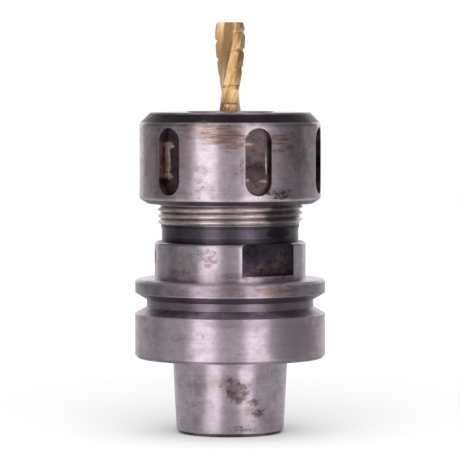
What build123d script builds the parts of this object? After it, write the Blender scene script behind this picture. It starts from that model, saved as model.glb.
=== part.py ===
"""Collet chuck on a hollow taper shank, with its clamping nut, collet and router bit.

The chuck stands on its shank end. The origin is the centre of that end face and +Z runs up the
spindle axis towards the cutting tip. All sizes are in millimetres.
"""

from build123d import *
import math
import os

# Hollow taper shank, and the flange whose lower face meets the spindle
shank_length = 25.0
shank_gauge_diameter = 38.0
shank_taper = 10.0
shank_end_chamfer = 1.2
face_relief_width = 1.2
face_relief_depth = 0.6
flange_diameter = 63.0
flange_thickness = 26.0
flange_top_chamfer = 0.7
flange_bottom_chamfer = 0.9

# Gripper groove in the flange
groove_centre_above_face = 18.1
groove_depth = 3.9
groove_floor_width = 2.4
groove_flank_angle = 60.0

# Space inside the shank for the clamping fingers
finger_wall = 3.0
finger_shoulder_step = 3.0
mouth_step = 1.5
mouth_depth = 2.6
land_end_height = 11.4
finger_shoulder_angle = 30.0
finger_floor_height = 22.5
finger_floor_rise = 1.5
drawbar_hole_diameter = 16.5

# Collar with its spanner flats and pin hole
collar_step = 1.0
collar_height = 12.5
collar_round = 1.0
flat_depth = 2.0
flat_foot_above_flange = 2.0
flat_direction = -57.5
pin_hole_diameter = 5.0
pin_hole_depth = 5.0
pin_hole_above_flange = 7.5
pin_hole_direction = -174.5

# Neck and threaded nose
neck_step = 1.4
neck_height = 4.7
nose_wall = 6.475
thread_pitch = 2.0
thread_depth = 1.15
nose_pilot_length = 1.2
nose_chamfer = 0.6

# Straight bore behind the collet's seat, drilled to a blunt cone
seat_tail_length = 0.8
seat_shoulder = 2.25
back_bore_floor_height = 38.0
drill_point_angle = 118.0

# Clamping nut
nut_wall = 6.0
nut_length = 30.0
nut_above_thread_foot = 7.9
nut_top_chamfer = 3.6
nut_corner_round = 2.5
nut_foot_chamfer_width = 2.5
nut_foot_chamfer_height = 1.6
nut_foot_round = 1.2
nut_mouth_chamfer = 1.0
thread_relief_depth = 0.75
thread_relief_width = 1.8
pocket_count = 6
pocket_width = 9.0
pocket_length = 22.0
pocket_depth = 2.7
pocket_top_below_nut_top = 4.8
pocket_direction = -72.0

# Cone ring that turns in the nut on one row of balls
ring_wall = 5.475
ring_edge_chamfer = 0.4
lip_height = 2.7
lip_offset = 1.0
ball_diameter = 3.5
race_below_nut_top = 6.4
plug_diameter = 4.0
plug_key_size = 2.0
plug_key_depth = 2.0
plug_sunk = 0.3
plug_direction = 168.0

# Slotted collet
collet_diameter = 35.05
collet_length = 52.0
collet_taper = 10.0
collet_cone_width = 3.125
collet_cone_angle = 30.0
collet_rim_height = 2.2
collet_groove_height = 3.6
collet_groove_depth = 1.925
collet_body_step = 0.25
collet_stands_proud = 0.4
collet_tail_chamfer = 0.6
slit_width = 0.8
slits_each_way = 8
front_slit_stop = 7.0
rear_slit_stop = 9.0

# Two-flute roughing cutter
cutter_diameter = 10.0
cutter_length = 80.0
cutter_stands_out = 29.7
cutting_length = 36.0
flute_lead = 135.0
flute_runout = 8.0
core_diameter = 5.0
back_diameter = 6.0
land_relief = 0.4
first_relief = 0.15
edge_angle = 33.0
core_angle = 80.0
back_angle = 115.0
heel_angle = 35.0
land_faces_front_above_nut = 6.3
chip_notch_pitch = 6.0
chip_notch_depth = 0.6
chip_notch_radius = 1.35
first_notch_above_nut = 2.6
notches_per_land = 5
cutter_tail_chamfer = 0.8

# Sides that stand for a round race or notch, and the overshoot of a cut past its face
round_sides = 8
overshoot = 1.0

# Clearances
seat_clearance = 0.02
thread_clearance = 0.05
ring_clearance = 0.05
rim_clearance = 0.15
lip_clearance = 0.175
lip_gap = 0.1
nose_gap = 2.7
race_clearance = 0.05
plug_clearance = 0.03
cutter_clearance = 0.01

# Radii of the shank and flange
shank_gauge_radius = shank_gauge_diameter / 2
finger_radius = shank_gauge_radius - finger_wall
land_radius = finger_radius - finger_shoulder_step
mouth_radius = land_radius + mouth_step
flange_radius = flange_diameter / 2
groove_floor_radius = flange_radius - groove_depth

# Radii that follow from the collet, outwards through its ring, the nose and the nut
collet_radius = collet_diameter / 2
collet_face_radius = collet_radius - collet_cone_width
collet_groove_radius = collet_radius - collet_groove_depth
lip_bore_radius = collet_radius + lip_clearance
ring_radius = collet_radius + ring_wall
ball_radius = ball_diameter / 2
plug_radius = plug_diameter / 2
thread_radius = collet_radius + nose_wall
thread_root_radius = thread_radius - thread_depth
neck_radius = thread_radius - neck_step
collar_radius = thread_radius + collar_step
flat_distance = collar_radius - flat_depth
nut_radius = thread_radius + nut_wall

# Radii of the router bit and the drawbar's hole
cutter_radius = cutter_diameter / 2
core_radius = core_diameter / 2
back_radius = back_diameter / 2
drawbar_hole_radius = drawbar_hole_diameter / 2

# Heights up the spindle axis
contact_face = shank_length
flange_top = contact_face + flange_thickness
collar_top = flange_top + collar_height
thread_foot = collar_top + neck_height
nut_bottom = thread_foot + nut_above_thread_foot
nut_top = nut_bottom + nut_length
ring_top = nut_top
race_height = nut_top - race_below_nut_top
collet_front = nut_top + collet_stands_proud
collet_tail = collet_front - collet_length
collet_cone_foot = collet_front - (collet_radius - collet_face_radius) / math.tan(
    math.radians(collet_cone_angle)
)
collet_rim_foot = collet_cone_foot - collet_rim_height
collet_groove_foot = collet_rim_foot - collet_groove_height
collet_body_radius = collet_radius - collet_body_step
lip_top = collet_rim_foot - lip_gap
ring_bottom = lip_top - lip_height
nose_top = ring_bottom - nose_gap
thread_top = nose_top - nose_pilot_length
thread_turns = round((thread_top - thread_foot) / thread_pitch)
cutter_tip = nut_top + cutter_stands_out
cutter_tail = cutter_tip - cutter_length
flute_foot = cutter_tip - cutting_length


def shank_radius_at(height):
    """Radius of the outer taper at a height below the flange."""
    return shank_gauge_radius - (contact_face - height) / (2 * shank_taper)


def collet_radius_at(height):
    """Radius of the collet's body taper at a height below its groove."""
    return collet_body_radius - (collet_groove_foot - height) / (2 * collet_taper)


def rings(part, radius, height):
    """Circular edges of a part that lie at one radius and height."""
    near = 0.01
    circles = part.edges().filter_by(GeomType.CIRCLE)
    return circles.filter_by(
        lambda edge: abs(edge.radius - radius) < near and abs(edge.arc_center.Z - height) < near
    )


def radial_plane(direction, distance, height):
    """Plane square to a radius, with its own X axis pointing up the spindle axis."""
    turn = math.radians(direction)
    outward = (math.cos(turn), math.sin(turn), 0)
    return Plane(
        origin=(distance * outward[0], distance * outward[1], height),
        x_dir=(0, 0, 1),
        z_dir=outward,
    )


# Holder body, turned and ground from one bar
groove_centre = contact_face + groove_centre_above_face
groove_flank_rise = (flange_radius - groove_floor_radius) / math.tan(math.radians(groove_flank_angle))
groove_floor_low = groove_centre - groove_floor_width / 2
groove_floor_high = groove_centre + groove_floor_width / 2
relief_radius = shank_gauge_radius + face_relief_width

# Outline of the thread, as ridges that follow each other at its pitch
ridges = []
for turn in range(thread_turns):
    ridge_foot = thread_foot + turn * thread_pitch
    ridges.append((thread_root_radius, ridge_foot))
    ridges.append((thread_radius, ridge_foot + thread_pitch / 2))

with BuildPart() as holder_body:
    with BuildSketch(Plane.XZ):
        with BuildLine():
            Polyline(
                (0, 0),
                (shank_radius_at(0) - shank_end_chamfer, 0),
                (shank_radius_at(shank_end_chamfer), shank_end_chamfer),
                (shank_radius_at(contact_face + face_relief_depth), contact_face + face_relief_depth),
                (relief_radius, contact_face + face_relief_depth),
                (relief_radius, contact_face),
                (flange_radius - flange_bottom_chamfer, contact_face),
                (flange_radius, contact_face + flange_bottom_chamfer),
                (flange_radius, groove_floor_low - groove_flank_rise),
                (groove_floor_radius, groove_floor_low),
                (groove_floor_radius, groove_floor_high),
                (flange_radius, groove_floor_high + groove_flank_rise),
                (flange_radius, flange_top - flange_top_chamfer),
                (flange_radius - flange_top_chamfer, flange_top),
                (collar_radius, flange_top),
                (collar_radius, collar_top),
                (neck_radius, collar_top),
                (neck_radius, thread_foot),
                *ridges,
                (thread_root_radius, thread_top),
                (thread_root_radius, nose_top - nose_chamfer),
                (thread_root_radius - nose_chamfer, nose_top),
                (0, nose_top),
                close=True,
            )
        make_face()
    revolve(axis=Axis.Z)
    fillet(rings(holder_body, collar_radius, collar_top), radius=collar_round)

    # Stepped space for the clamping fingers, opening at the shank's end
    shoulder_rise = finger_shoulder_step / math.tan(math.radians(finger_shoulder_angle))
    finger_space_top = finger_floor_height + finger_floor_rise
    with BuildSketch(Plane.XZ):
        with BuildLine():
            Polyline(
                (0, -overshoot),
                (mouth_radius, -overshoot),
                (mouth_radius, mouth_depth),
                (land_radius, mouth_depth + mouth_step),
                (land_radius, land_end_height),
                (finger_radius, land_end_height + shoulder_rise),
                (finger_radius, finger_floor_height),
                (land_radius, finger_space_top),
                (0, finger_space_top),
                close=True,
            )
        make_face()
    revolve(axis=Axis.Z, mode=Mode.SUBTRACT)

    # Tapered seat for the collet, then the straight bore behind it
    seat_top_radius = collet_radius_at(nose_top) + seat_clearance
    seat_foot_radius = collet_radius_at(collet_tail) + seat_clearance
    seat_foot = collet_tail - seat_tail_length
    back_bore_radius = seat_foot_radius - seat_shoulder
    drill_cone_drop = (back_bore_radius - drawbar_hole_radius) / math.tan(
        math.radians(drill_point_angle / 2)
    )
    drill_cone_foot = back_bore_floor_height - drill_cone_drop
    with BuildSketch(Plane.XZ):
        with BuildLine():
            Polyline(
                (0, nose_top),
                (seat_top_radius, nose_top),
                (seat_foot_radius, collet_tail),
                (seat_foot_radius, seat_foot),
                (back_bore_radius, seat_foot - seat_shoulder),
                (back_bore_radius, back_bore_floor_height),
                (drawbar_hole_radius, drill_cone_foot),
                (0, drill_cone_foot),
                close=True,
            )
        make_face()
    revolve(axis=Axis.Z, mode=Mode.SUBTRACT)
    with BuildSketch(Plane.XY.offset(finger_floor_height)):
        Circle(drawbar_hole_radius)
    extrude(amount=back_bore_floor_height - finger_floor_height, mode=Mode.SUBTRACT)

    # Two spanner flats, open at the collar's upper edge
    flat_foot = flange_top + flat_foot_above_flange
    flat_rise = collar_top - flat_foot
    for direction in (flat_direction, flat_direction + 180):
        with BuildSketch(radial_plane(direction, flat_distance, flat_foot + flat_rise / 2)):
            Rectangle(flat_rise, 2 * collar_radius)
        extrude(amount=collar_radius, mode=Mode.SUBTRACT)

    # Blind pin hole in the collar
    pin_floor = collar_radius - pin_hole_depth
    with BuildSketch(radial_plane(pin_hole_direction, pin_floor, flange_top + pin_hole_above_flange)):
        Circle(pin_hole_diameter / 2)
    extrude(amount=2 * pin_hole_depth, mode=Mode.SUBTRACT)

# Clamping nut with its ball race and spanner pockets
nut_bore_radius = thread_radius + thread_clearance
ring_bore_radius = ring_radius + ring_clearance
relief_top = ring_bottom - rim_clearance
race_radius = ball_radius + race_clearance
pocket_floor = nut_radius - pocket_depth
pocket_centre = nut_top - pocket_top_below_nut_top - pocket_length / 2

with BuildPart() as clamping_nut:
    with BuildSketch(Plane.XZ):
        with BuildLine():
            Polyline(
                (nut_bore_radius + nut_mouth_chamfer, nut_bottom),
                (nut_radius - nut_foot_chamfer_width, nut_bottom),
                (nut_radius, nut_bottom + nut_foot_chamfer_height),
                (nut_radius, nut_top - nut_top_chamfer),
                (nut_radius - nut_top_chamfer, nut_top),
                (ring_bore_radius, nut_top),
                (ring_bore_radius, relief_top),
                (nut_bore_radius + thread_relief_depth, relief_top),
                (nut_bore_radius + thread_relief_depth, relief_top - thread_relief_width),
                (nut_bore_radius, relief_top - thread_relief_width - thread_relief_depth),
                (nut_bore_radius, nut_bottom + nut_mouth_chamfer),
                close=True,
            )
        make_face()
    revolve(axis=Axis.Z)
    fillet(rings(clamping_nut, nut_radius, nut_top - nut_top_chamfer), radius=nut_corner_round)
    fillet(rings(clamping_nut, nut_radius, nut_bottom + nut_foot_chamfer_height), radius=nut_foot_round)

    # Hole through which the balls are filled in, and the race that they run in
    with BuildSketch(radial_plane(plug_direction, ring_radius, race_height)):
        Circle(plug_radius + plug_clearance)
    extrude(amount=nut_radius, mode=Mode.SUBTRACT)
    with BuildSketch(Plane.XZ):
        with Locations((ring_bore_radius, race_height)):
            RegularPolygon(race_radius, round_sides, major_radius=False)
    revolve(axis=Axis.Z, mode=Mode.SUBTRACT)

    # Rounded spanner pockets, evenly spaced
    for index in range(pocket_count):
        direction = pocket_direction + index * 360 / pocket_count
        with BuildSketch(radial_plane(direction, pocket_floor, pocket_centre)):
            SlotOverall(pocket_length, pocket_width)
        extrude(amount=2 * pocket_depth, mode=Mode.SUBTRACT)

# Grub screw that closes the filler hole
plug_inner = ring_bore_radius + race_radius
plug_outer = nut_radius - plug_sunk

with BuildPart() as ball_filler_plug:
    with BuildSketch(radial_plane(plug_direction, plug_inner, race_height)):
        Circle(plug_radius)
    extrude(amount=plug_outer - plug_inner)
    with BuildSketch(radial_plane(plug_direction, plug_outer - plug_key_depth, race_height)):
        RegularPolygon(plug_key_size / 2, 6, major_radius=False)
    extrude(amount=2 * plug_key_depth, mode=Mode.SUBTRACT)

# Cone ring that presses on the collet and pulls it out again by its lip
ring_cone_top_radius = collet_radius - (ring_top - collet_cone_foot) * math.tan(
    math.radians(collet_cone_angle)
)

with BuildPart() as cone_ring:
    with BuildSketch(Plane.XZ):
        with BuildLine():
            Polyline(
                (0, ring_bottom),
                (ring_radius - ring_edge_chamfer, ring_bottom),
                (ring_radius, ring_bottom + ring_edge_chamfer),
                (ring_radius, ring_top - ring_edge_chamfer),
                (ring_radius - ring_edge_chamfer, ring_top),
                (0, ring_top),
                close=True,
            )
        make_face()
    revolve(axis=Axis.Z)
    with BuildSketch(Plane.XZ):
        with BuildLine():
            Polyline(
                (0, lip_top),
                (collet_radius + rim_clearance, lip_top),
                (collet_radius + rim_clearance, collet_cone_foot),
                (collet_radius + seat_clearance, collet_cone_foot),
                (ring_cone_top_radius + seat_clearance, ring_top),
                (0, ring_top),
                close=True,
            )
        make_face()
    revolve(axis=Axis.Z, mode=Mode.SUBTRACT)
    with BuildSketch(Plane.XZ):
        with Locations((ring_bore_radius, race_height)):
            RegularPolygon(race_radius, round_sides, major_radius=False)
    revolve(axis=Axis.Z, mode=Mode.SUBTRACT)

    # Off-centre bore of the lip, so that it hooks into the collet's groove on one side
    with BuildSketch(Plane.XY.offset(ring_bottom)):
        with Locations((0, lip_offset)):
            Circle(lip_bore_radius)
    extrude(amount=lip_height, mode=Mode.SUBTRACT)

# Collet, slit from both ends in turn
with BuildPart() as collet:
    with BuildSketch(Plane.XZ):
        with BuildLine():
            Polyline(
                (cutter_radius + cutter_clearance, collet_tail),
                (collet_radius_at(collet_tail) - collet_tail_chamfer, collet_tail),
                (collet_radius_at(collet_tail + collet_tail_chamfer), collet_tail + collet_tail_chamfer),
                (collet_body_radius, collet_groove_foot),
                (collet_groove_radius, collet_groove_foot),
                (collet_groove_radius, collet_rim_foot),
                (collet_radius, collet_rim_foot),
                (collet_radius, collet_cone_foot),
                (collet_face_radius, collet_front),
                (cutter_radius + cutter_clearance, collet_front),
                close=True,
            )
        make_face()
    revolve(axis=Axis.Z)
    slit_step = 360 / slits_each_way
    with BuildSketch(Plane.XY.offset(collet_tail + front_slit_stop)):
        with PolarLocations(0, slits_each_way // 2, angular_range=180):
            Rectangle(2 * collet_diameter, slit_width)
    extrude(amount=collet_length, mode=Mode.SUBTRACT)
    with BuildSketch(Plane.XY.offset(collet_front - rear_slit_stop)):
        with PolarLocations(0, slits_each_way // 2, start_angle=slit_step / 2, angular_range=180):
            Rectangle(2 * collet_diameter, slit_width)
    extrude(amount=-collet_length, mode=Mode.SUBTRACT)


def land_direction(height):
    """Direction that the first land of the cutter faces at a height."""
    return -90 + 360 * (height - nut_top - land_faces_front_above_nut) / flute_lead


def section_point(radius, angle):
    """Point of the cutter's section, from its radius and its angle in degrees."""
    return (radius * math.cos(math.radians(angle)), radius * math.sin(math.radians(angle)))


# Router bit: plain shank, two spiral flutes that run out into it, and chip notches on its lands
heel_radius = cutter_radius - land_relief
flute_height = cutter_tip - flute_foot

with BuildPart() as router_bit:
    with BuildSketch(Plane.XZ):
        with BuildLine():
            Polyline(
                (0, cutter_tail),
                (cutter_radius - cutter_tail_chamfer, cutter_tail),
                (cutter_radius, cutter_tail + cutter_tail_chamfer),
                (cutter_radius, flute_foot),
                (core_radius, flute_foot + flute_runout),
                (0, flute_foot + flute_runout),
                close=True,
            )
        make_face()
    revolve(axis=Axis.Z)

    # Section with two lands, each ground with two relief facets, turned once round in each lead
    with BuildSketch(Plane.XY.offset(flute_foot), mode=Mode.PRIVATE) as section:
        with BuildLine():
            for turn in (0, 180):
                Polyline(
                    section_point(heel_radius, turn - heel_angle),
                    section_point(cutter_radius - first_relief, turn),
                    section_point(cutter_radius, turn + edge_angle),
                )
                Spline(
                    section_point(cutter_radius, turn + edge_angle),
                    section_point(core_radius, turn + core_angle),
                    section_point(back_radius, turn + back_angle),
                    section_point(heel_radius, turn + 180 - heel_angle),
                )
        make_face()
    start = section.sketch.rotate(Axis.Z, land_direction(flute_foot))
    flutes = Solid.extrude_linear_with_rotation(
        start.face(), (0, 0, flute_foot), (0, 0, flute_height), 360 * flute_height / flute_lead
    )
    add(flutes)

    # Notches ground across each land, staggered from one land to the other
    notch_ring_radius = cutter_radius - chip_notch_depth + chip_notch_radius
    for land in range(2):
        for index in range(notches_per_land):
            notch = nut_top + first_notch_above_nut + (index + land / 2) * chip_notch_pitch
            facing = math.radians(land_direction(notch) + 180 * land - 90)
            across = Plane(
                origin=(0, 0, notch),
                x_dir=(math.cos(facing), math.sin(facing), 0),
                z_dir=(math.sin(facing), -math.cos(facing), 0),
            )
            with BuildSketch(across):
                with Locations((notch_ring_radius, 0)):
                    RegularPolygon(chip_notch_radius, round_sides, major_radius=False)
            revolve(axis=Axis.Z, revolution_arc=180, mode=Mode.SUBTRACT)

# Write each piece to its own file
pieces = {
    "holder_body": holder_body,
    "clamping_nut": clamping_nut,
    "ball_filler_plug": ball_filler_plug,
    "cone_ring": cone_ring,
    "collet": collet,
    "router_bit": router_bit,
}
os.makedirs("parts", exist_ok=True)
for name, piece in pieces.items():
    piece.part.label = name
    export_step(piece.part, f"parts/{name}.step")
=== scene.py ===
"""Looks of a collet chuck: worn steel with painted shade and highlights, true thread, bearing balls,
fluted bit, light and camera.
"""

import logging
import math
from dataclasses import dataclass, field
from enum import Enum

import bmesh
import bpy
from mathutils import Matrix, Vector


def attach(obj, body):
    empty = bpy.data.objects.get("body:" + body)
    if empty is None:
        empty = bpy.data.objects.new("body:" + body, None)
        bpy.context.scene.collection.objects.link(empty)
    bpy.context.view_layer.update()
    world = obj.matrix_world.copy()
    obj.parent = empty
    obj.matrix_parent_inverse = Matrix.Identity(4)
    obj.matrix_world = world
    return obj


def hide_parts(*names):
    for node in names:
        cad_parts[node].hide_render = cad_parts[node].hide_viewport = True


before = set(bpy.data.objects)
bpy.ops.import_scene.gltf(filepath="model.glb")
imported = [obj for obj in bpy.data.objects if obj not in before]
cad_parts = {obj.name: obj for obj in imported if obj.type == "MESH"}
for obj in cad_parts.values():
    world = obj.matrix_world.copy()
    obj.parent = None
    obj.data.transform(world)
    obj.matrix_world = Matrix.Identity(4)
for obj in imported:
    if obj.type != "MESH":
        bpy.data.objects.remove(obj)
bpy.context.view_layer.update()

log = logging.getLogger("collet_chuck")
MM = 0.001
Colour = tuple[float, float, float]
Point = tuple[float, float, float]
Socket = bpy.types.NodeSocket

# Places of the mix node's sockets, first those for numbers and then those for colours
MIX_SHARE, MIX_FIRST, MIX_SECOND, MIXED = 0, 2, 3, 0
MIX_BASE, MIX_OVER, MIXED_COLOUR = 6, 7, 2

# Value that a noise varies about
NOISE_MIDDLE = 0.5

# Values of a noise between which each kind of mark fades in
BROAD_EDGE = (0.3, 0.7)
PATCH_EDGE = (0.32, 0.68)
STAIN_EDGE = (0.5, 0.72)
DIRT_EDGE = (0.46, 0.66)
PIT_EDGE = (0.68, 0.76)
TORN_EDGE = (0.42, 0.58)
RUB_EDGE = (0.5, 0.8)
GRIND_EDGE = (0.36, 0.62)


class Body(str, Enum):
    """Moving bodies that the pieces made here ride on."""

    HOLDER = "holder"
    PACK = "collet_pack"


class Slot(str, Enum):
    """Material slots of the record."""

    GROUND = "ground_steel"
    RING = "ring_steel"
    GOLD = "gold_coating"


def facing(angle: float, distance: float = 1.0, height: float = 0.0) -> Point:
    """Point round the axis, by its angle from the camera's side.

    Args:
        angle: Angle in degrees, positive to the picture's right.
        distance: Distance from the axis.
        height: Height of the point.

    Returns:
        The point.
    """
    turn = math.radians(angle - 90)
    return (distance * math.cos(turn), distance * math.sin(turn), height)


@dataclass(frozen=True)
class Pattern:
    """Noise: cycles to the metre on each axis, octaves, their strength, and where it starts.

    A lean in degrees tips it towards +X as it rises.
    """

    scale: Point
    detail: float = 3.0
    roughness: float = 0.55
    offset: Point = (0, 0, 0)
    lean: float = 0.0


class Graph:
    """Node tree of one material, with short calls that add and join nodes."""

    def __init__(self, name: str) -> None:
        """Starts a material with a principled shader.

        Args:
            name: Name of the material.
        """
        self.material = bpy.data.materials.new(name)
        self.material.use_nodes = True
        self.tree = self.material.node_tree
        self.shader = self.tree.nodes["Principled BSDF"]
        self.place = self.tree.nodes.new("ShaderNodeTexCoord").outputs["Object"]

    def join(self, source: Socket, target: Socket) -> None:
        """Links two sockets."""
        self.tree.links.new(source, target)

    def feed(self, target: Socket, value: object) -> None:
        """Links a socket, or sets a plain value.

        Args:
            target: Input to fill.
            value: Another node's output, or a constant.
        """
        if isinstance(value, Socket):
            self.join(value, target)
        else:
            target.default_value = value

    def vector(self, operation: str, *values: object) -> bpy.types.Node:
        """Arithmetic on vectors.

        Args:
            operation: Name of the operation.
            values: Outputs or constants.

        Returns:
            The new node.
        """
        node = self.tree.nodes.new("ShaderNodeVectorMath")
        node.operation = operation
        for value, socket in zip(values, node.inputs):
            self.feed(socket, value)
        return node

    def calc(self, operation: str, first: object, second: object) -> Socket:
        """Arithmetic on two values.

        Args:
            operation: Name of the operation.
            first: Output or constant.
            second: Output or constant.

        Returns:
            Value output.
        """
        node = self.tree.nodes.new("ShaderNodeMath")
        node.operation = operation
        self.feed(node.inputs[0], first)
        self.feed(node.inputs[1], second)
        return node.outputs[0]

    def product(self, first: Socket, *others: object) -> Socket:
        """Product of values.

        Args:
            first: Value output.
            others: Outputs or constants.

        Returns:
            Value output.
        """
        for other in others:
            first = self.calc("MULTIPLY", first, other)
        return first

    def scaled(self, scale: Point, offset: Point = (0, 0, 0), lean: float = 0.0) -> Socket:
        """Object coordinates moved by an offset, leaned and scaled on each axis.

        Args:
            scale: Factor on each axis.
            offset: Point in metres that becomes the origin.
            lean: Angle in degrees by which the pattern leans to +X as it rises.

        Returns:
            Vector output.
        """
        moved = self.vector("SUBTRACT", self.place, offset).outputs[0]
        if lean:
            turn = self.tree.nodes.new("ShaderNodeVectorRotate")
            turn.rotation_type = "Y_AXIS"
            self.join(moved, turn.inputs["Vector"])
            turn.inputs["Angle"].default_value = -math.radians(lean)
            moved = turn.outputs[0]
        return self.vector("MULTIPLY", moved, scale).outputs[0]

    def height(self) -> Socket:
        """Height above the shank's end.

        Returns:
            Value output in metres.
        """
        split = self.tree.nodes.new("ShaderNodeSeparateXYZ")
        self.join(self.place, split.inputs[0])
        return split.outputs["Z"]

    def axis_distance(self) -> Socket:
        """Distance from the spindle axis in metres."""
        return self.vector("LENGTH", self.scaled((1, 1, 0))).outputs["Value"]

    def noise(self, pattern: Pattern) -> Socket:
        """Noise with its own scale on each axis.

        Args:
            pattern: Its scale, octaves and place.

        Returns:
            Value output about the noise's middle.
        """
        node = self.tree.nodes.new("ShaderNodeTexNoise")
        self.join(self.scaled(pattern.scale, pattern.offset, pattern.lean), node.inputs["Vector"])
        node.inputs["Scale"].default_value = 1.0
        node.inputs["Detail"].default_value = pattern.detail
        node.inputs["Roughness"].default_value = pattern.roughness
        return node.outputs["Fac"]

    def span(self, value: Socket, low: float, high: float, start: float = 0.0,
             end: float = 1.0) -> Socket:
        """Smooth, clamped step of a value.

        Args:
            value: Input value.
            low: Input that gives the start.
            high: Input that gives the end.
            start: Output at the low input.
            end: Output at the high input.

        Returns:
            Value output.
        """
        node = self.tree.nodes.new("ShaderNodeMapRange")
        node.interpolation_type = "SMOOTHSTEP"
        self.join(value, node.inputs["Value"])
        numbers = {"From Min": low, "From Max": high, "To Min": start, "To Max": end}
        for key, number in numbers.items():
            node.inputs[key].default_value = number
        return node.outputs["Result"]

    def blend(self, share: Socket, base: object, over: object) -> Socket:
        """Mixes two colours.

        Args:
            share: Share of the second colour.
            base: First colour.
            over: Second colour.

        Returns:
            Colour output.
        """
        node = self.tree.nodes.new("ShaderNodeMix")
        node.data_type = "RGBA"
        self.join(share, node.inputs[MIX_SHARE])
        self.feed(node.inputs[MIX_BASE], (*base, 1.0) if isinstance(base, tuple) else base)
        self.feed(node.inputs[MIX_OVER], (*over, 1.0) if isinstance(over, tuple) else over)
        return node.outputs[MIXED_COLOUR]

    def dimmed(self, colour: object, share: Socket) -> Socket:
        """Multiplies a colour by a value.

        Args:
            colour: Colour to dim or brighten.
            share: Factor.

        Returns:
            Colour output.
        """
        node = self.vector("SCALE", colour)
        self.join(share, node.inputs["Scale"])
        return node.outputs[0]

    def bump(self, height: Socket, strength: float, depth: float) -> None:
        """Gives the shader a bump.

        Args:
            height: Height of the relief.
            strength: Share of it that shows.
            depth: Depth in metres of one unit of height.
        """
        node = self.tree.nodes.new("ShaderNodeBump")
        node.inputs["Strength"].default_value = strength
        node.inputs["Distance"].default_value = depth
        self.join(height, node.inputs["Height"])
        self.join(node.outputs["Normal"], self.shader.inputs["Normal"])


@dataclass(frozen=True)
class Spot:
    """One local mark on a surface, in millimetres. Some marks are real stains and rust, others painted
    shade, painted glints and painted reflections.

    Its centre is given by its angle from the camera's direction, its radius and its height. Ragged
    is how far noise tears its outline, broken the share of it that gaps take, and a streaky mark
    has its gaps along the lathe marks.
    """

    angle: float
    radius: float
    height: float
    width: float
    tall: float
    colour: Colour
    strength: float = 0.8
    ragged: float = 3.0
    broken: float = 0.7
    streaky: bool = False
    tears: float = 1.5
    tear_detail: float = 5.0
    tear_roughness: float = 0.7
    rim: float = 0.9
    fade: float = 0.25

    def mask(self, graph: Graph) -> Socket:
        """Ragged cluster round the centre.

        Args:
            graph: Node tree of the material.

        Returns:
            Mask from 0 to 1.
        """
        centre = facing(self.angle, self.radius * MM, self.height * MM)
        radii = (self.width * MM, self.width * MM, self.tall * MM)
        reach = graph.vector("LENGTH", graph.scaled(tuple(1 / radius for radius in radii), centre))
        finer = Pattern(tuple(self.tears / radius for radius in radii), self.tear_detail,
                        self.tear_roughness, centre)
        tear = graph.product(graph.calc("SUBTRACT", graph.noise(finer), NOISE_MIDDLE), self.ragged)
        torn = graph.calc("ADD", reach.outputs["Value"], tear)
        return graph.span(torn, self.rim, self.rim - self.fade)


@dataclass(frozen=True)
class Band:
    """A ring of surface painted another colour, between two heights and two radii, in millimetres. Here
    most rings are painted shade, painted highlights and painted reflections.
    """

    low: float
    high: float
    inner: float
    outer: float
    colour: Colour
    strength: float = 0.9
    roughness: float = 0.06
    patches: float = 0.3
    edge: float = 0.12

    def mask(self, graph: Graph) -> Socket:
        """Share of this ring's colour at each point.

        Args:
            graph: Node tree of the material.

        Returns:
            Mask from 0 to the strength.
        """
        edge = self.edge * MM
        height, radius = graph.height(), graph.axis_distance()
        return graph.product(graph.span(height, self.low * MM - edge, self.low * MM + edge),
                             graph.span(height, self.high * MM + edge, self.high * MM - edge),
                             graph.span(radius, self.inner * MM - edge, self.inner * MM),
                             graph.span(radius, self.outer * MM + edge, self.outer * MM),
                             self.strength)


@dataclass(frozen=True)
class Flat:
    """A flat painted another colour, here a painted dark reflection: all points of a body at one
    distance along a direction.
    """

    angle: float
    distance: float
    low: float
    high: float
    colour: Colour
    strength: float = 0.92
    roughness: float = 0.1
    patches: float = 0.3
    nearest: float = 0.04
    farthest: float = 0.12
    edge: float = 0.1

    def mask(self, graph: Graph) -> Socket:
        """Share of this flat's colour at each point.

        Args:
            graph: Node tree of the material.

        Returns:
            Mask from 0 to the strength.
        """
        along = graph.vector("DOT_PRODUCT", graph.place, facing(self.angle)).outputs["Value"]
        off = graph.calc("ABSOLUTE", graph.calc("SUBTRACT", along, self.distance * MM), 0.0)
        height = graph.height()
        low, high, edge = self.low * MM, self.high * MM, self.edge * MM
        return graph.product(graph.span(off, self.farthest * MM, self.nearest * MM),
                             graph.span(height, low, low + edge),
                             graph.span(height, high, high - edge), self.strength)


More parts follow.
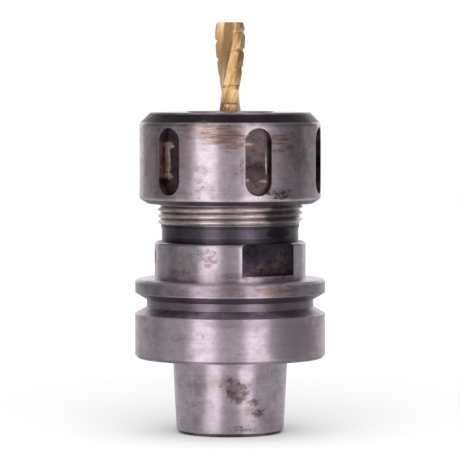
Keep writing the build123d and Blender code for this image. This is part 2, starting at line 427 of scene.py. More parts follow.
@dataclass(frozen=True)
class Steel:
    """Turned or ground steel with lathe marks, stains and pits, and rings and marks of painted shade and
    painted highlights.
    """

    name: str
    colour: Colour
    stain_colour: Colour = (0.30, 0.20, 0.15)
    roughness: float = 0.33
    lathe_marks: float = 0.1
    stain: float = 0.3
    pits: float = 0.5
    grain: float = 0.11
    dirt: float = 0.3
    dirt_colour: Colour = (0.26, 0.17, 0.15)
    pit_colour: Colour = (0.05, 0.035, 0.03)
    anisotropy: float = 0.8
    stretch_turn: float = 0.25
    rough_spread: float = 0.05
    rough_by_dirt: float = 0.2
    relief_depth: float = 0.00002
    bands: tuple[Band | Flat, ...] = ()
    spots: tuple[Spot, ...] = ()
    turning_lines: Pattern = Pattern((60, 60, 4200), 2.0)
    turning_tones: Pattern = Pattern((45, 45, 1500), 3.0, 0.7)
    grains: Pattern = Pattern((1500, 1500, 1100), 3.0, 0.6)
    clouds: Pattern = Pattern((70, 70, 110), 4.0, 0.6)
    specks: Pattern = Pattern((620, 620, 620), 3.0, 0.5, (0.3, 0.1, 0.2))
    mottles: Pattern = Pattern((420, 420, 620), 6.0, 0.75, (0.2, 0.4, 0.1))
    grime: Pattern = Pattern((150, 150, 210), 7.0, 0.75, (0.7, 0.2, 0.5))
    streaks: Pattern = Pattern((130, 130, 1500), 4.0, 0.7, (0.4, 0.3, 0.6))

    def build(self) -> bpy.types.Material:
        """Builds the material.

        Returns:
            The finished material.
        """
        graph = Graph(self.name)
        shader = graph.shader
        shader.inputs["Metallic"].default_value = 1.0
        shader.inputs["Anisotropic"].default_value = self.anisotropy
        shader.inputs["Anisotropic Rotation"].default_value = self.stretch_turn
        tangent = graph.tree.nodes.new("ShaderNodeTangent")
        tangent.direction_type = "RADIAL"
        tangent.axis = "Z"
        graph.join(tangent.outputs[0], shader.inputs["Tangent"])
        grain, mottle, grimy = map(graph.noise, (self.grains, self.mottles, self.grime))
        stained = graph.product(graph.span(graph.noise(self.clouds), *STAIN_EDGE), self.stain)
        soiled = graph.product(graph.span(grimy, *DIRT_EDGE), self.dirt)
        pitted = graph.product(graph.span(graph.noise(self.specks), *PIT_EDGE), self.pits)
        colour = graph.blend(stained, self.colour, self.stain_colour)
        colour = graph.blend(soiled, colour, self.dirt_colour)
        colour = graph.blend(pitted, colour, self.pit_colour)
        rough = graph.calc("ADD", graph.span(grain, *BROAD_EDGE, self.roughness - self.rough_spread,
                                             self.roughness + self.rough_spread),
                           graph.product(graph.calc("ADD", stained, soiled), self.rough_by_dirt))
        # Rings and flats: mostly painted shade, painted highlights and painted reflections
        for band in self.bands:
            mask = band.mask(graph)
            patchy = graph.span(grimy, *PATCH_EDGE, 1 - band.patches, 1 + band.patches)
            colour = graph.blend(mask, colour, graph.dimmed(band.colour, patchy))
            rough = graph.calc("ADD", rough, graph.product(mask, band.roughness))
        # Marks: real stains and rust, and painted shade, painted glints and painted reflections
        streaks = graph.noise(self.streaks)
        for spot in self.spots:
            torn = graph.span(streaks if spot.streaky else mottle, *TORN_EDGE, 1 - spot.broken, 1.0)
            mask = graph.product(spot.mask(graph), torn, spot.strength)
            colour = graph.blend(mask, colour, spot.colour)
        half = 0.5 * self.grain
        tone = graph.calc("ADD",
                          graph.span(graph.noise(self.turning_tones), *BROAD_EDGE, 1 - half, 1 + half),
                          graph.span(mottle, *BROAD_EDGE, -self.grain, self.grain))
        graph.join(graph.dimmed(colour, tone), shader.inputs["Base Color"])
        graph.join(rough, shader.inputs["Roughness"])
        relief = graph.calc("ADD", graph.noise(self.turning_lines), grain)
        graph.bump(graph.calc("SUBTRACT", relief, pitted), self.lathe_marks, self.relief_depth)
        return graph.material


@dataclass(frozen=True)
class Gold:
    """Gold hard coating on ground carbide, darker where chips have rubbed, streaked on its lands."""

    name: str = "gold_hard_coating"
    colour: Colour = (0.82, 0.51, 0.25)
    rubbed: Colour = (0.55, 0.32, 0.18)
    rub: float = 0.5
    darkest: float = -0.34
    lightest: float = 0.12
    smoothest: float = 0.31
    roughest: float = 0.43
    metallic: float = 0.87
    land_from: float = 4.0
    land_full: float = 4.4
    grind_marks: float = 0.5
    relief_depth: float = 0.0002
    clouds: Pattern = Pattern((260, 260, 180), 3.0, 0.5)
    grinding: Pattern = Pattern((1100, 700, 130), 3.0, 0.6, lean=20.0)

    def build(self) -> bpy.types.Material:
        """Builds the material.

        Returns:
            The finished material.
        """
        graph = Graph(self.name)
        shader = graph.shader
        shader.inputs["Metallic"].default_value = self.metallic
        share = graph.product(graph.span(graph.noise(self.clouds), *RUB_EDGE), self.rub)
        grind = graph.noise(self.grinding)
        on_land = graph.span(graph.axis_distance(), self.land_from * MM, self.land_full * MM)
        streaks = graph.product(graph.span(grind, *GRIND_EDGE, self.darkest, self.lightest), on_land)
        tone = graph.calc("ADD", streaks, 1.0)
        graph.join(graph.dimmed(graph.blend(share, self.colour, self.rubbed), tone),
                   shader.inputs["Base Color"])
        graph.join(graph.span(grind, *BROAD_EDGE, self.smoothest, self.roughest),
                   shader.inputs["Roughness"])
        graph.bump(graph.product(grind, on_land), self.grind_marks, self.relief_depth)
        return graph.material


def dress(node: str, material: bpy.types.Material) -> None:
    """Gives a CAD node its finish.

    Args:
        node: Name of the node.
        material: Finish for all its slots.
    """
    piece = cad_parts[node]
    if not piece.material_slots:
        piece.data.materials.append(material)
    for slot in piece.material_slots:
        slot.material = material
    log.info("%s: %s", node, material.name)


def settle(name: str, bm: bmesh.types.BMesh, material: bpy.types.Material, body: Body,
           crease: float = 30.0) -> bpy.types.Object:
    """Turns a bmesh into a piece that rides on a body.

    Args:
        name: Name of the piece.
        bm: Its geometry in metres, which is freed.
        material: Finish.
        body: Body that carries it.
        crease: Angle in degrees above which an edge stays sharp.

    Returns:
        The new object.
    """
    bmesh.ops.recalc_face_normals(bm, faces=bm.faces)
    for face in bm.faces:
        face.smooth = True
    for edge in bm.edges:
        edge.smooth = len(edge.link_faces) == 2 and edge.calc_face_angle() < math.radians(crease)
    mesh = bpy.data.meshes.new(name)
    bm.to_mesh(mesh)
    bm.free()
    piece = bpy.data.objects.new(name, mesh)
    bpy.context.scene.collection.objects.link(piece)
    mesh.materials.append(material)
    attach(piece, body.value)
    log.info("%s: %d faces on %s", name, len(mesh.polygons), body.value)
    return piece


@dataclass
class HolderBody:
    """Holder with its true helical thread in place of the rings at its pitch, in millimetres."""

    thread_foot: float = 68.2
    thread_top: float = 92.187
    root_radius: float = 22.85
    crest_radius: float = 24.0
    pitch: float = 2.0
    steps_per_turn: int = 96
    crest_flat: float = 0.25
    first_crest: float = 69.45
    start_angle: float = 180.0
    lead_in_turns: float = 0.2
    ridge_share: float = 0.98
    ridge_sunk: float = 0.06
    root_band: float = 0.1
    core_overlap: float = 0.05
    groove_reach: float = 0.3
    margin: float = 0.01
    weld: float = 0.002
    # Its rings, flats and marks are partly real stains and rust, partly painted shade and painted
    # highlights.
    finish_and_painted_light: Steel = field(default_factory=lambda: Steel(
        "holder_steel", (0.60, 0.52, 0.595), bands=(
            Band(65.3, 68.3, 20.0, 24.6, (0.085, 0.072, 0.103), 0.93),
            # Painted dark reflection on the collar's rounded top
            Band(63.4, 65.3, 20.0, 25.2, (0.045, 0.037, 0.05), 0.93),
            # Painted shade in the thread's roots, and painted highlights on its crests
            Band(68.2, 92.3, 22.7, 23.25, (0.26, 0.20, 0.19), 0.8),
            Band(69.3, 92.3, 23.3, 24.2, (0.84, 0.74, 0.72), 0.85),
            Band(68.2, 69.2, 22.6, 23.6, (0.05, 0.042, 0.052), 0.93),
            # Painted shade in the gripper groove: darkest on its upper flank, lighter towards its lower
            # flank, which faces up
            Band(44.3, 46.6, 26.0, 31.3, (0.10, 0.08, 0.105), 0.85),
            Band(41.9, 44.3, 26.0, 31.3, (0.20, 0.162, 0.207), 0.8),
            Band(39.9, 41.9, 26.0, 31.3, (0.40, 0.325, 0.385), 0.8, patches=0.6),
            # Painted shade under the flange
            Band(24.0, 25.95, 19.5, 31.6, (0.14, 0.11, 0.14), 0.6),
            # Painted highlight on the flange's top chamfer
            Band(50.2, 51.1, 30.7, 31.6, (0.50, 0.43, 0.47), 0.7),
            Band(46.8, 50.2, 31.0, 31.6, (0.36, 0.30, 0.35), 0.8, patches=0.4),
            # Painted shade on the shank's end chamfer, by the floor
            Band(-0.2, 1.1, 15.0, 19.0, (0.09, 0.06, 0.06), 0.85),
            # Painted dark reflection on the two spanner flats
            Flat(32.5, 23.0, 52.8, 63.6, (0.040, 0.030, 0.047), 0.965, patches=0.8),
            Flat(212.5, 23.0, 52.8, 63.6, (0.040, 0.030, 0.047), 0.965, patches=0.8),
        ), spots=(
            Spot(30, 31.5, 48.9, 8.0, 1.9, (0.34, 0.19, 0.15), 0.8, streaky=True),
            Spot(-2, 31.5, 48.6, 8.0, 1.4, (0.34, 0.22, 0.18), 0.6, streaky=True),
            Spot(8, 18.3, 14.8, 4.8, 4.6, (0.15, 0.10, 0.10), 0.92, 2.0, 0.45),
            # Painted shade on the thread's right side
            Spot(50, 23.6, 72.6, 10.5, 5.0, (0.15, 0.12, 0.125), 0.8, 0.8, 0.2),
            # Painted shade on the flange's right side
            Spot(42, 31.5, 32.5, 15.0, 8.5, (0.40, 0.34, 0.395), 0.85, 1.0, 0.2),
            Spot(10, 31.5, 38.2, 20.0, 2.6, (0.36, 0.305, 0.36), 0.7, 1.8, 0.6),
            # Painted shade on the neck's right side
            Spot(46, 22.6, 66.8, 7.0, 2.4, (0.02, 0.017, 0.022), 0.8, 0.6, 0.1),
            Spot(0.5, 18.5, 18.8, 1.6, 1.2, (0.16, 0.11, 0.11), 0.9, broken=0.5),
            Spot(26, 18.2, 11.5, 2.4, 1.5, (0.17, 0.11, 0.10), 0.9),
            Spot(31, 18.1, 7.8, 2.4, 1.6, (0.17, 0.10, 0.09), 0.9),
            Spot(11, 18.0, 2.8, 3.0, 1.6, (0.20, 0.13, 0.11), 0.9, broken=0.9),
            Spot(24, 18.0, 2.4, 2.0, 1.0, (0.20, 0.13, 0.11), 0.8, broken=0.9),
            Spot(-42, 25.0, 54.2, 6.0, 1.6, (0.12, 0.08, 0.08), 0.6, 1.6, 0.9),
            Spot(-18, 25.0, 59.3, 5.4, 4.0, (0.24, 0.14, 0.12), 0.8, 1.6, 0.95),
            Spot(-36, 25.0, 57.5, 6.0, 4.4, (0.26, 0.18, 0.16), 0.5, 1.6, 0.9),
            Spot(30, 23.3, 55.4, 6.0, 2.6, (0.16, 0.10, 0.10), 0.7, 2.0, 0.95),
            Spot(44, 24.6, 56.5, 4.0, 5.0, (0.20, 0.15, 0.15), 0.7, 2.0, 0.9),
            Spot(10, 25.0, 53.2, 12.0, 1.2, (0.14, 0.09, 0.08), 0.6, 1.6, 0.95),
        )))

    def build(self) -> bpy.types.Object:
        """Builds the holder from a copy of the CAD mesh, cut at its thread.

        Returns:
            The dressed holder.
        """
        bm = bmesh.new()
        bm.from_mesh(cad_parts["holder_body"].data)
        bmesh.ops.remove_doubles(bm, verts=bm.verts, dist=self.weld * MM)
        low = (self.thread_foot - self.margin) * MM
        high = (self.thread_top + self.margin) * MM
        inner = (self.root_radius - self.groove_reach) * MM
        ridges = [face for face in bm.faces if all(
            low < vert.co.z < high and Vector(vert.co[:2]).length > inner for vert in face.verts)]
        bmesh.ops.delete(bm, geom=ridges, context="FACES")
        self.add_core(bm)
        self.add_helix(bm)
        piece = settle("holder_with_thread", bm, self.finish_and_painted_light.build(), Body.HOLDER)
        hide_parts("holder_body")
        return piece

    def add_core(self, bm: bmesh.types.BMesh) -> None:
        """Adds the smooth core that the thread stands on.

        Args:
            bm: Geometry of the holder.
        """
        low, high = self.thread_foot - self.core_overlap, self.thread_top + self.core_overlap
        bottom, top = (bm.verts.new((self.root_radius * MM, 0, height * MM)) for height in (low, high))
        line = bm.edges.new((bottom, top))
        bmesh.ops.spin(bm, geom=[bottom, top, line], cent=(0, 0, 0), axis=(0, 0, 1), angle=math.tau,
                       steps=self.steps_per_turn, use_merge=True)

    def add_helix(self, bm: bmesh.types.BMesh) -> None:
        """Adds one right-handed ridge by turning its section up the axis.

        Args:
            bm: Geometry of the holder.
        """
        half = self.pitch / 2 * self.ridge_share
        turns = (self.thread_top - half - self.first_crest) / self.pitch
        steps = int(self.steps_per_turn * turns)
        sunk = self.root_radius - self.ridge_sunk
        middle = self.first_crest
        flat = self.crest_flat / 2
        known = set(bm.verts)
        outline = [(sunk, middle - half), (self.crest_radius, middle - flat),
                   (self.crest_radius, middle + flat), (sunk, middle + half)]
        verts = [bm.verts.new(facing(self.start_angle, radius * MM, height * MM))
                 for radius, height in outline]
        face = bm.faces.new(verts)
        rise = Vector((0, 0, self.pitch * MM / self.steps_per_turn))
        bmesh.ops.spin(bm, geom=[face, *face.edges, *verts], cent=(0, 0, 0), axis=(0, 0, 1), dvec=rise,
                       angle=math.tau * steps / self.steps_per_turn, steps=steps)
        lead = self.lead_in_turns * self.pitch
        end = self.first_crest + steps * self.pitch / self.steps_per_turn
        for vert in set(bm.verts) - known:
            place = vert.co.to_2d()
            if place.length < (sunk + self.root_band) * MM:
                continue
            level = vert.co.z / MM
            share = max(0.0, min(1.0, (level - self.first_crest) / lead, (end - level) / lead))
            place *= (sunk + (self.crest_radius - sunk) * share) * MM / place.length
            vert.co.x, vert.co.y = place


@dataclass
class NutSet:
    """Clamping nut, its filler plug, and the balls that it runs on, in millimetres."""

    ball_count: int = 41
    ball_radius: float = 1.75
    ball_circle: float = 23.05
    ball_height: float = 99.7
    ball_sides: int = 20
    ball_rings: int = 12
    # Its rings and marks are partly real rust and stains, partly painted shade, painted glints and
    # painted reflections.
    finish_and_painted_light: Steel = field(default_factory=lambda: Steel(
        "nut_steel", (0.60, 0.515, 0.58), stain=0.5, pits=0.9, dirt=0.4, bands=(
            # Painted dark reflection on the nut's top chamfer, which faces up
            Band(103.0, 106.05, 25.5, 30.5, (0.024, 0.015, 0.022), 0.96),
            # Painted shade in the spanner pockets, made patchy
            Band(78.6, 102.4, 26.0, 29.75, (0.078, 0.055, 0.058), 0.95, patches=0.9),
            # Painted shade on the nut's lower edge
            Band(75.8, 77.5, 24.0, 30.5, (0.055, 0.042, 0.055), 0.85),
            # Painted reflection on the nut's top face
            Band(105.6, 106.2, 25.5, 30.5, (0.40, 0.36, 0.43), 0.8, patches=0.3),
        ), spots=(
            Spot(-14, 30, 99.6, 14.0, 4.2, (0.30, 0.20, 0.195), 0.7, 1.6, 0.4, True),
            Spot(33, 30, 96.6, 5.0, 4.6, (0.30, 0.17, 0.15), 0.75, 2.0, 0.9, True),
            Spot(48, 30, 94.0, 6.0, 8.0, (0.28, 0.17, 0.16), 0.6, 2.0, 0.8),
            Spot(-14, 30, 101.0, 10.0, 1.0, (0.34, 0.15, 0.11), 0.85, 2.4, 0.9, True),
            Spot(-5, 30, 99.0, 9.0, 2.2, (0.32, 0.145, 0.11), 0.9, 2.2, 0.75, True),
            Spot(0, 30, 97.2, 8.0, 3.2, (0.32, 0.155, 0.125), 0.9, 1.8, 0.75, True),
            Spot(2, 30, 94.5, 6.0, 2.4, (0.38, 0.24, 0.21), 0.6, 2.0, 0.9, True),
            Spot(-58, 30, 90.0, 7.0, 10.0, (0.34, 0.25, 0.24), 0.5, 1.6, 0.8),
            Spot(-28, 30, 92.0, 6.0, 9.0, (0.34, 0.25, 0.24), 0.45, 1.6, 0.8),
            Spot(34, 30, 79.8, 4.8, 2.0, (0.06, 0.035, 0.035), 0.95, 2.4, 0.85),
            Spot(24, 30, 80.8, 3.4, 1.4, (0.08, 0.05, 0.05), 0.9, 2.4, 0.9),
            Spot(7.5, 30, 88.0, 0.8, 6.0, (0.10, 0.07, 0.07), 0.8, 2.4, 0.9),
            # Painted glints in the left pocket
            Spot(-47.8, 27.5, 90.8, 1.7, 6.6, (1.0, 0.74, 0.61), 0.97, 0.8, 0.3),
            Spot(-46.4, 27.5, 95.6, 2.9, 1.3, (1.0, 0.76, 0.64), 0.9, 1.8, 0.35),
            Spot(-47.0, 27.5, 85.6, 2.6, 1.3, (1.0, 0.76, 0.64), 0.9, 1.8, 0.35),
            # Painted glints in the middle pocket
            Spot(24.8, 27.9, 90.0, 0.6, 6.4, (0.85, 0.66, 0.53), 0.95, 1.0, 0.5),
            Spot(12.0, 27.6, 96.0, 2.2, 0.5, (0.70, 0.52, 0.42), 0.8, 1.4, 0.5),
            Spot(22.5, 27.8, 84.0, 1.6, 0.7, (0.75, 0.56, 0.44), 0.7, 1.6, 0.5),
            Spot(12.0, 27.6, 84.4, 0.9, 0.9, (0.60, 0.42, 0.32), 0.7, 1.6, 0.5),
            # Painted shade in the middle pocket
            Spot(19.5, 27.4, 89.2, 2.0, 1.6, (0.02, 0.018, 0.024), 0.8, 1.6, 0.5),
            Spot(14.0, 27.4, 93.5, 3.6, 4.0, (0.15, 0.115, 0.11), 0.7, 1.6, 0.7),
            Spot(18.0, 27.4, 85.5, 4.5, 4.5, (0.036, 0.027, 0.030), 0.7, 1.6, 0.6),
            # Painted reflection low in the left pocket
            Spot(-44.0, 27.5, 82.4, 4.0, 4.0, (0.19, 0.155, 0.17), 0.7, 1.2, 0.6),
        )))

    def build(self) -> None:
        """Dresses the nut and its plug and adds the balls."""
        dress("clamping_nut", self.finish_and_painted_light.build())
        dress("ball_filler_plug", Steel("plug_steel", (0.16, 0.15, 0.16), roughness=0.35).build())
        dress("cone_ring", Steel("ring_steel", (0.62, 0.57, 0.60), stain=0.1, pits=0.1).build())
        chrome = Steel("ball_steel", (0.75, 0.74, 0.75), roughness=0.08, stain=0.0, pits=0.0).build()
        for index in range(self.ball_count):
            turn = math.tau * index / self.ball_count
            place = Vector((math.cos(turn) * self.ball_circle, math.sin(turn) * self.ball_circle,
                            self.ball_height))
            bm = bmesh.new()
            bmesh.ops.create_uvsphere(bm, u_segments=self.ball_sides, v_segments=self.ball_rings,
                                      radius=self.ball_radius * MM,
                                      matrix=Matrix.Translation(place * MM))
            settle(f"bearing_ball_{index + 1:02d}", bm, chrome, Body.PACK)


@dataclass
class RouterBit:
    """Two-flute bit: an S section turned up the axis, with chip notches and flutes that run out.

    Sizes are in millimetres. Angles of the section are in degrees from the middle of its land.
    """

    tail: float = 55.8
    flute_foot: float = 99.8
    tip: float = 135.8
    radius: float = 5.0
    core: float = 2.5
    back: float = 3.0
    relief: float = 0.4
    first_relief: float = 0.15
    heel_angle: float = 35.0
    edge_angle: float = 33.0
    core_angle: float = 80.0
    back_angle: float = 115.0
    edge_slope: float = -0.11
    back_slope: float = 0.75
    heel_slope: float = 1.9
    lead: float = 135.0
    runout: float = 8.0
    tail_chamfer: float = 0.8
    land_front: float = 112.4
    notch_first: float = 108.7
    notch_pitch: float = 6.0
    notch_depth: float = 0.6
    notch_above: float = 0.8
    notch_below: float = 1.5
    corner_height: float = 4.5
    corner_depth: float = 0.6
    notches: int = 5
    step: float = 0.15
    section_half: int = 36
    shank_sides: int = 72
    crease: float = 28.0
    tip_break: float = 0.05
    overlap: float = 0.01
    weld: float = 0.001

    def build(self) -> bpy.types.Object:
        """Builds the bit.

        Returns:
            The dressed bit.
        """
        bm = bmesh.new()
        self.add_shank(bm)
        self.add_flutes(bm)
        piece = settle("fluted_router_bit", bm, Gold().build(), Body.PACK, self.crease)
        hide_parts("router_bit")
        return piece

    def add_shank(self, bm: bmesh.types.BMesh) -> None:
        """Adds the plain shank up to the flutes.

        Args:
            bm: Geometry of the bit.
        """
        top = self.flute_foot + self.overlap
        outline = [(0, self.tail), (self.radius - self.tail_chamfer, self.tail),
                   (self.radius, self.tail + self.tail_chamfer), (self.radius, top), (0, top)]
        verts = [bm.verts.new((radius * MM, 0, height * MM)) for radius, height in outline]
        edges = [bm.edges.new(pair) for pair in zip(verts, verts[1:])]
        bmesh.ops.spin(bm, geom=[*verts, *edges], cent=(0, 0, 0), axis=(0, 0, 1), angle=math.tau,
                       steps=self.shank_sides, use_merge=True)
        bmesh.ops.remove_doubles(bm, verts=bm.verts, dist=self.weld * MM)

    def section_radius(self, angle: float) -> float:
        """Radius of the section at an angle from the middle of its land.

        Args:
            angle: Angle in degrees, from -35 to 145 for one half of the section.

        Returns:
            Radius in millimetres.
        """
        heel = self.radius - self.relief
        if angle <= self.edge_angle:
            middle = self.radius - self.first_relief
            low, start, high, stop = (heel, -self.heel_angle, middle, 0.0) if angle < 0 else (
                middle, 0.0, self.radius, self.edge_angle)
            after, before, across = map(math.radians, (angle - start, stop - angle, stop - start))
            return low * high * math.sin(across) / (low * math.sin(after) + high * math.sin(before))
        end = 180 - self.heel_angle
        rising = (heel - self.core) / (end - self.core_angle)
        knots = [(self.edge_angle, self.radius, self.edge_slope), (self.core_angle, self.core, 0.0),
                 (self.back_angle, self.back, self.back_slope * rising),
                 (end, heel, self.heel_slope * rising)]
        for (start, low, leave), (stop, high, meet) in zip(knots, knots[1:]):
            if angle <= stop:
                width = stop - start
                share = (angle - start) / width
                bend = (leave * (1 - share) - meet * share) * width
                ramp = share * share * (3 - 2 * share)
                return low + (high - low) * ramp + share * (1 - share) * bend
        return heel

    def add_flutes(self, bm: bmesh.types.BMesh) -> None:
        """Sweeps the section up its helix, then cuts its notches and its run-out.

        Args:
            bm: Geometry of the bit.
        """
        start = self.land_direction(self.flute_foot)
        even = {180 * index / self.section_half - self.heel_angle for index in range(self.section_half)}
        half_turn = sorted(even | {0.0, self.edge_angle})
        verts = []
        for side in (0, 180):
            for angle in half_turn:
                turn = math.radians(start + side + angle)
                radius = self.section_radius(angle) * MM
                place = (radius * math.cos(turn), radius * math.sin(turn), self.flute_foot * MM)
                verts.append(bm.verts.new(place))
        face = bm.faces.new(verts)
        height = self.tip - self.flute_foot
        steps = round(height / self.step)
        made = bmesh.ops.spin(bm, geom=[face, *face.edges, *verts], cent=(0, 0, 0), axis=(0, 0, 1),
                              dvec=(0, 0, height * MM / steps), angle=math.tau * height / self.lead,
                              steps=steps)
        ends = [item for item in made["geom_last"] if isinstance(item, bmesh.types.BMFace)]
        top = {vert for item in ends for vert in item.verts}
        for vert in bm.verts:
            level = vert.co.z / MM
            if level < self.flute_foot + self.overlap / 2 or vert.co.to_2d().length < self.core / 2 * MM:
                continue
            self.shape(vert, level, vert in top)

    def land_direction(self, height: float) -> float:
        """Direction in degrees that the first land faces at a height."""
        return -90 + 360 * (height - self.land_front) / self.lead

    def shape(self, vert: bmesh.types.BMVert, level: float, at_tip: bool) -> None:
        """Moves one vertex of the flutes to the run-out cone or into a notch.

        Args:
            vert: Vertex to move.
            level: Its height in millimetres.
            at_tip: Whether it is on the end face.
        """
        flat = vert.co.to_2d()
        radius = flat.length / MM
        turn = math.degrees(math.atan2(flat.y, flat.x)) - self.land_direction(level)
        cone = self.radius - (self.radius - self.core) * min(1, (level - self.flute_foot) / self.runout)
        wanted = max(radius, cone)
        for land in range(2):
            off_land = (turn - 180 * land + 180) % 360 - 180
            if abs(off_land) < 90:
                for index in range(self.notches):
                    middle = self.notch_first + (index + land / 2) * self.notch_pitch
                    reach = self.notch_above if level > middle else self.notch_below
                    rise = abs(level - middle) / reach
                    if rise < 1:
                        floor = self.radius - self.notch_depth * (0.5 + 0.5 * math.cos(math.pi * rise))
                        wanted = min(wanted, max(floor, cone))
        corner = max(0.0, (level - self.tip) / self.corner_height + 1)
        wanted = min(wanted, self.radius - self.corner_depth * corner * corner)
        if at_tip:
            wanted -= self.tip_break
        flat *= wanted / radius
        vert.co.x, vert.co.y = flat


def add_light(name: str, size: float, power: float, place: Point) -> bpy.types.Object:
    """Adds a square soft light that faces down.

    Args:
        name: Name of the light.
        size: Its side in metres.
        power: Power in watts.
        place: Its middle in metres.

    Returns:
        The new lamp.
    """
    light = bpy.data.lights.new(name, "AREA")
    light.size = size
    light.energy = power
    lamp = bpy.data.objects.new(name, light)
    lamp.location = place
    bpy.context.scene.collection.objects.link(lamp)
    return lamp


def add_card(graph: Graph, name: str, place: Matrix, size: float = 1.0) -> None:
    """Adds a plain card to the stage.

    Args:
        graph: Node tree of its finish.
        name: Name of the card.
        place: Its scale, turn and place.
        size: Half its side in metres, before the scale.
    """
    bm = bmesh.new()
    bmesh.ops.create_grid(bm, x_segments=1, y_segments=1, size=size, matrix=place)
    mesh = bpy.data.meshes.new(name)
    bm.to_mesh(mesh)
    bm.free()
    mesh.materials.append(graph.material)
    card = bpy.data.objects.new(name, mesh)
    bpy.context.scene.collection.objects.link(card)


@dataclass(frozen=True)
class Strip:
    """Tall soft light that faces the chuck and shows as a bright band, in metres and watts."""

    name: str
    angle: float
    width: float
    power: float
    distance: float = 0.45
    height: float = 0.9
    foot: float = 0.002

    def add(self) -> None:
        """Adds the light."""
        place = facing(self.angle, self.distance, self.height / 2 + self.foot)
        lamp = add_light(self.name, self.width, self.power, place)
        lamp.data.shape = "RECTANGLE"
        lamp.data.size_y = self.height
        level = Vector((-place[0], -place[1], 0))
        lamp.rotation_euler = level.to_track_quat("-Z", "Y").to_euler()


@dataclass(frozen=True)
class Flag:
    """Black card beside the chuck, which shows as a dark band in its metal, in metres."""

    name: str
    angle: float
    width: float
    distance: float = 0.36
    height: float = 0.22
    colour: Colour = (0.07, 0.065, 0.07)

    def add(self) -> None:
        """Adds the card."""
        graph = Graph(self.name)
        graph.shader.inputs["Base Color"].default_value = (*self.colour, 1)
        graph.shader.inputs["Specular IOR Level"].default_value = 0.0
        place = (Matrix.Rotation(math.radians(self.angle), 4, "Z")
                 @ Matrix.Translation((0, -self.distance, self.height / 2))
                 @ Matrix.Rotation(math.radians(90), 4, "X")
                 @ Matrix.Diagonal((self.width / 2, self.height / 2, 1, 1)))
        add_card(graph, self.name, place)


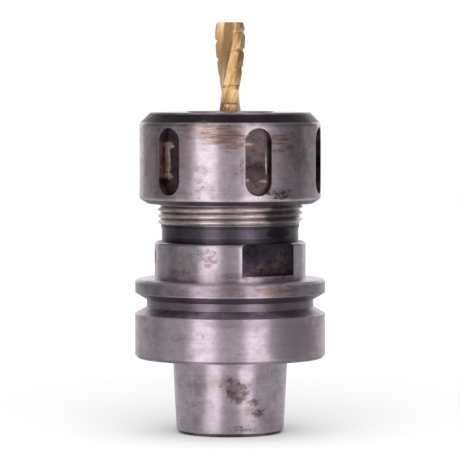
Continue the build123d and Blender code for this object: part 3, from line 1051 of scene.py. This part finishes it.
@dataclass
class Studio:
    """Pale floor, soft lights and the photograph's camera, in metres, watts and degrees."""

    aim_height: float = 0.06713
    elevation: float = 2.709
    distance: float = 1.0508
    focal_pixels: float = 3170.9
    picture: float = 460.0
    axis_pixel: float = 230.13
    sensor: float = 36.0
    clip_start: float = 0.05
    floor_reach: float = 3.0
    # Painted shade: the floor's colour is floor_grey near the chuck, paling to floor_far_grey further
    # out
    floor_grey: float = 0.78
    floor_far_grey: float = 1.0
    pales_from: float = 0.08
    pales_to: float = 0.6
    # Painted reflection: the floor seen in the metal takes floor_in_metal, and floor_by_strips on
    # painted lit paths towards the strips
    floor_in_metal: float = 0.48
    floor_by_strips: float = 1.0
    glow_full: float = 7.0
    glow_edge: float = 18.0
    ambient: float = 0.94
    room: float = 0.1
    strips: tuple[Strip, ...] = (Strip("strip_left", -31.0, 0.24, 0.75),
                                 Strip("strip_right", 31.0, 0.22, 0.62))
    flags: tuple[Flag, ...] = (Flag("flag_left", -96, 0.14), Flag("flag_right", 84, 0.26))
    overhead_width: float = 1.6
    overhead_height: float = 0.95
    overhead_power: float = 2.8
    fill_place: Point = (0, -0.8, 0.32)
    fill_tilt: float = 70.0
    fill_width: float = 0.6
    fill_power: float = 4.5
    backdrop_place: Point = (0, 2.2, 1.0)
    backdrop_reach: float = 1.6
    backdrop_glow: float = 1.03

    def build(self) -> None:
        """Builds the whole set."""
        self.add_world()
        self.add_floor()
        for strip in self.strips:
            strip.add()
        add_light("overhead", self.overhead_width, self.overhead_power, (0, 0, self.overhead_height))
        self.add_fill()
        for flag in self.flags:
            flag.add()
        self.add_backdrop()
        self.add_camera()

    def add_world(self) -> None:
        """White to the camera, dim in the metal's reflections, and soft light elsewhere."""
        world = bpy.data.worlds.new("studio")
        world.use_nodes = True
        bpy.context.scene.world = world
        tree = world.node_tree
        path = tree.nodes.new("ShaderNodeLightPath")
        shader = tree.nodes["Background"]
        shader.inputs["Color"].default_value = (1, 1, 1, 1)
        dim = tree.nodes.new("ShaderNodeMix")
        dim.inputs[MIX_FIRST].default_value = self.ambient
        dim.inputs[MIX_SECOND].default_value = self.room
        tree.links.new(path.outputs["Is Glossy Ray"], dim.inputs[MIX_SHARE])
        seen = tree.nodes.new("ShaderNodeMix")
        seen.inputs[MIX_SECOND].default_value = 1.0
        tree.links.new(path.outputs["Is Camera Ray"], seen.inputs[MIX_SHARE])
        tree.links.new(dim.outputs[MIXED], seen.inputs[MIX_FIRST])
        tree.links.new(seen.outputs[MIXED], shader.inputs["Strength"])

    def add_floor(self) -> None:
        """Adds a matt floor that keeps the shadow.

        It pales with distance: near the chuck its colour is darker, a painted shade around the real
        shadow.
        In the metal's reflections it is dark but for two painted lit paths towards the strips.
        """
        graph = Graph("floor_paper")
        graph.shader.inputs["Roughness"].default_value = 1.0
        graph.shader.inputs["Specular IOR Level"].default_value = 0.0
        away = graph.vector("LENGTH", graph.place).outputs["Value"]
        floor_with_painted_shade = graph.span(away, self.pales_from, self.pales_to, self.floor_grey, self.floor_far_grey)
        unit = graph.vector("NORMALIZE", graph.place).outputs[0]
        left, right = (graph.vector("DOT_PRODUCT", unit, facing(strip.angle)).outputs["Value"]
                       for strip in self.strips)
        edge, full = (math.cos(math.radians(angle)) for angle in (self.glow_edge, self.glow_full))
        glow = graph.span(graph.calc("MAXIMUM", left, right), edge, full, self.floor_in_metal,
                          self.floor_by_strips)
        mirrored = graph.tree.nodes.new("ShaderNodeLightPath").outputs["Is Glossy Ray"]
        graph.join(graph.blend(mirrored, floor_with_painted_shade, glow), graph.shader.inputs["Base Color"])
        add_card(graph, "floor", Matrix.Identity(4), self.floor_reach)

    def add_fill(self) -> None:
        """Adds a low front light that only softens the contact shadow."""
        lamp = add_light("fill", self.fill_width, self.fill_power, self.fill_place)
        lamp.rotation_euler = (math.radians(self.fill_tilt), 0, 0)
        lamp.visible_glossy = False

    def add_backdrop(self) -> None:
        """Adds a white card behind the chuck, which lights its rims."""
        graph = Graph("backdrop_white")
        graph.shader.inputs["Base Color"].default_value = (0, 0, 0, 1)
        graph.shader.inputs["Specular IOR Level"].default_value = 0.0
        graph.shader.inputs["Emission Color"].default_value = (1, 1, 1, 1)
        graph.shader.inputs["Emission Strength"].default_value = self.backdrop_glow
        place = Matrix.Translation(self.backdrop_place) @ Matrix.Rotation(math.radians(90), 4, "X")
        add_card(graph, "backdrop", place, self.backdrop_reach)

    def add_camera(self) -> None:
        """Adds the camera at the photograph's angle."""
        data = bpy.data.cameras.new("camera")
        data.sensor_width = self.sensor
        data.lens = self.focal_pixels / self.picture * data.sensor_width
        data.shift_x = (self.picture / 2 - self.axis_pixel) / self.picture
        data.clip_start = self.clip_start
        camera = bpy.data.objects.new("camera", data)
        tilt = math.radians(self.elevation)
        camera.location = (0, -self.distance * math.cos(tilt),
                           self.aim_height + self.distance * math.sin(tilt))
        camera.rotation_euler = (math.radians(90) - tilt, 0, 0)
        bpy.context.scene.collection.objects.link(camera)
        bpy.context.scene.camera = camera


def main() -> None:
    """Builds every piece in order, then the set."""
    logging.basicConfig(level=logging.INFO, format="%(message)s")
    bpy.context.scene.view_settings.view_transform = "Standard"
    HolderBody().build()
    NutSet().build()
    dress("collet", Steel("collet_steel", (0.36, 0.33, 0.36), roughness=0.3).build())
    RouterBit().build()
    Studio().build()


if __name__ == "__main__":
    main()
